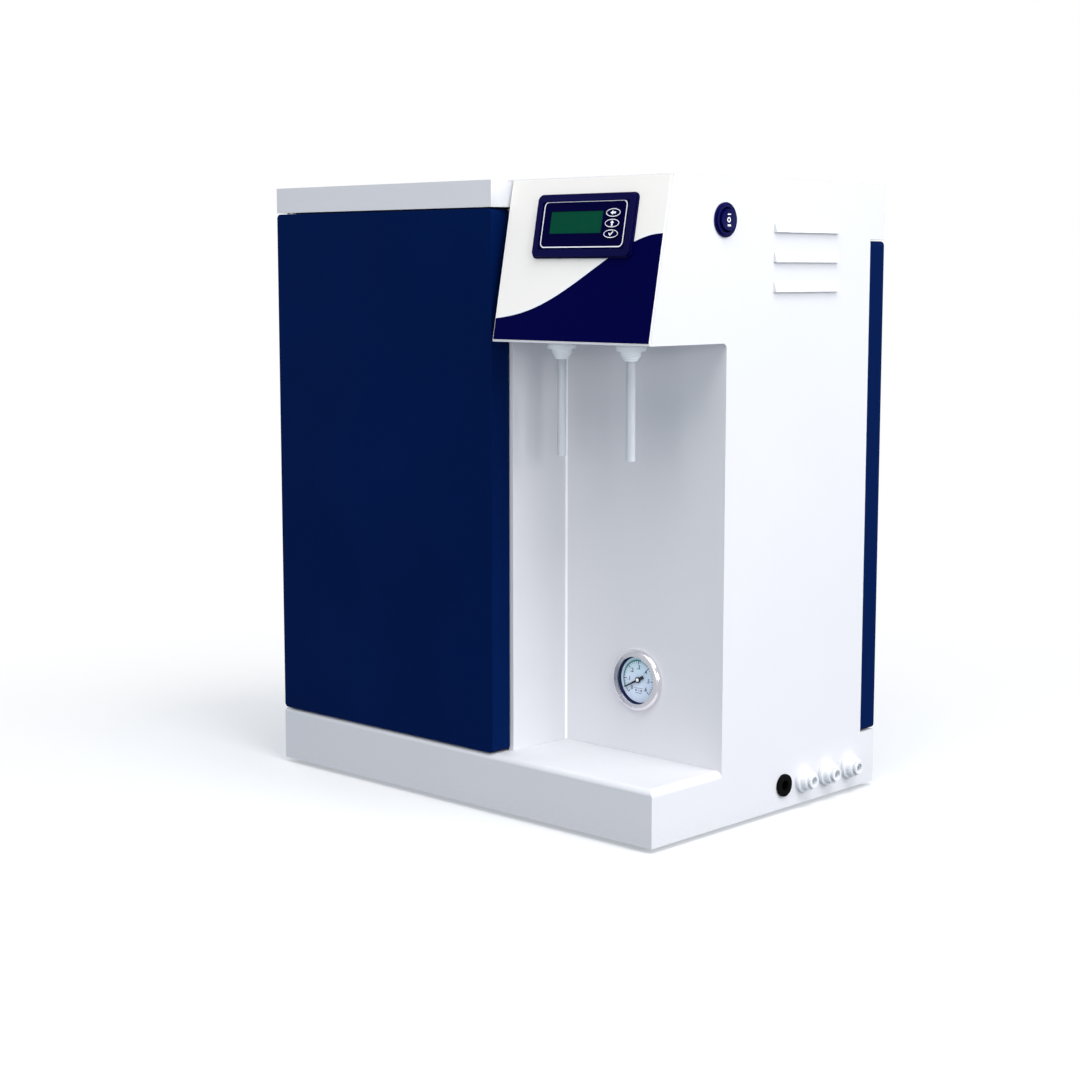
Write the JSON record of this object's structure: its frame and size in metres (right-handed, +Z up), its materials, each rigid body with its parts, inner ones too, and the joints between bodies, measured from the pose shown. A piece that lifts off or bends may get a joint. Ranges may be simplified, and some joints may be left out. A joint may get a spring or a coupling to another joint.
{
  "type": "bench water purifier",
  "caption": "Bench laboratory water purifier: steel cabinet with an open dispensing bay, sloped control head with meter and keys, rocker switch, pressure gauge, spouts and a hinged filter door.",
  "frame": {"origin": "centre of the whole object's footprint box, on the bench under the feet", "axes": "+Z up, -Y out of the front with the door, +X towards the side with the switch and the ports"},
  "size_m": [0.4254, 0.2861, 0.484],
  "materials": {
    "white_steel": "satin powder coat",
    "plain_steel": "zinc plated",
    "blue_cover": "satin moulding",
    "overlay": "printed film",
    "navy_plastic": "gloss moulding",
    "display": "dark display",
    "keys": "printed keys",
    "bright_steel": "polished stainless steel",
    "dial": "printed dial",
    "pointer": "matt black",
    "glass": "clear",
    "brass": "turned",
    "white_plastic": "moulded polypropylene",
    "milky_plastic": "translucent tube",
    "grey_plastic": "moulded",
    "blue_plastic": "moulded",
    "black_rubber": "matt",
    "black_plastic": "moulded",
    "motor_paint": "painted",
    "supply_case": "sheet",
    "circuit_board": "coated board"
  },
  "bodies": {
    "cabinet": {"base_tray": "white_steel", "port_panel": "white_steel", "bottom_plate": "white_steel", "rubber_feet": "black_rubber", "right_side_panel": "white_steel", "left_side_panel": "white_steel", "top_cover": "white_steel", "bay_liner": "white_steel", "head_front": "white_steel", "control_overlay": "overlay", "chassis_plate": "plain_steel", "rear_cover": "blue_cover", "rear_cover_screws": "plain_steel", "hinge_pins": "plain_steel", "magnet_catch": "black_plastic", "meter_case": "navy_plastic", "meter_face": "navy_plastic", "meter_display": "display", "switch_body": "navy_plastic", "gauge_case": "bright_steel", "gauge_bezel": "bright_steel", "gauge_dial": "dial", "gauge_glass": "glass", "gauge_stem": "brass", "nozzle_fittings": "white_plastic", "spout_left": "milky_plastic", "spout_right": "milky_plastic", "bulkhead_nuts": "white_plastic", "feed_port": "white_plastic", "drain_port": "white_plastic", "tank_port": "white_plastic", "cord_grommet": "black_rubber", "filter_manifold": "white_plastic", "sediment_filter": "white_plastic", "carbon_filter": "blue_plastic", "softener_filter": "blue_plastic", "membrane_vessel": "white_plastic", "membrane_element": "white_plastic", "membrane_cap": "white_plastic", "deioniser_left": "blue_plastic", "deioniser_right": "blue_plastic", "column_clips": "white_plastic", "pump_motor": "motor_paint", "pump_head": "black_plastic", "pump_mount": "motor_paint", "solenoid_valves": "black_plastic", "power_supply": "supply_case", "control_board": "circuit_board", "water_tubes": "blue_plastic"},
    "door": {"front_door": "blue_cover", "hinge_bushes": "white_plastic", "door_strike": "plain_steel"},
    "rocker": {"switch_rocker": "navy_plastic"},
    "pointer": {"gauge_pointer": "pointer"},
    "shift_key": {"key_shift": "keys"},
    "up_key": {"key_up": "keys"},
    "confirm_key": {"key_confirm": "keys"},
    "feed_release": {"feed_collet": "grey_plastic"},
    "drain_release": {"drain_collet": "grey_plastic"},
    "tank_release": {"tank_collet": "grey_plastic"}
  },
  "joints": [
    {"name": "door_swing", "type": "hinge", "parent": "cabinet", "child": "door", "pos_m": [-0.20015, -0.1275, 0.244], "axis": [0, 0, -1], "range_deg": [0, 100]},
    {"name": "rocker_tilt", "type": "hinge", "parent": "cabinet", "child": "rocker", "pos_m": [0.19835, -0.061, 0.453], "axis": [0, 1, 0], "range_deg": [-9, 9]},
    {"name": "pointer_turn", "type": "hinge", "parent": "cabinet", "child": "pointer", "pos_m": [0.11885, -0.057, 0.105], "axis": [0, 1, 0], "range_deg": [-17.5, 252.5], "stiffness_Nm_per_rad": 0.002},
    {"name": "shift_press", "type": "slide", "parent": "cabinet", "child": "shift_key", "axis": [0, 0.982, -0.189], "range_m": [0, 0.0006], "stiffness_N_per_m": 800},
    {"name": "up_press", "type": "slide", "parent": "cabinet", "child": "up_key", "axis": [0, 0.982, -0.189], "range_m": [0, 0.0006], "stiffness_N_per_m": 800},
    {"name": "confirm_press", "type": "slide", "parent": "cabinet", "child": "confirm_key", "axis": [0, 0.982, -0.189], "range_m": [0, 0.0006], "stiffness_N_per_m": 800},
    {"name": "feed_release_push", "type": "slide", "parent": "cabinet", "child": "feed_release", "axis": [-1, 0, 0], "range_m": [0, 0.0015]},
    {"name": "drain_release_push", "type": "slide", "parent": "cabinet", "child": "drain_release", "axis": [-1, 0, 0], "range_m": [0, 0.0015]},
    {"name": "tank_release_push", "type": "slide", "parent": "cabinet", "child": "tank_release", "axis": [-1, 0, 0], "range_m": [0, 0.0015]}
  ]
}
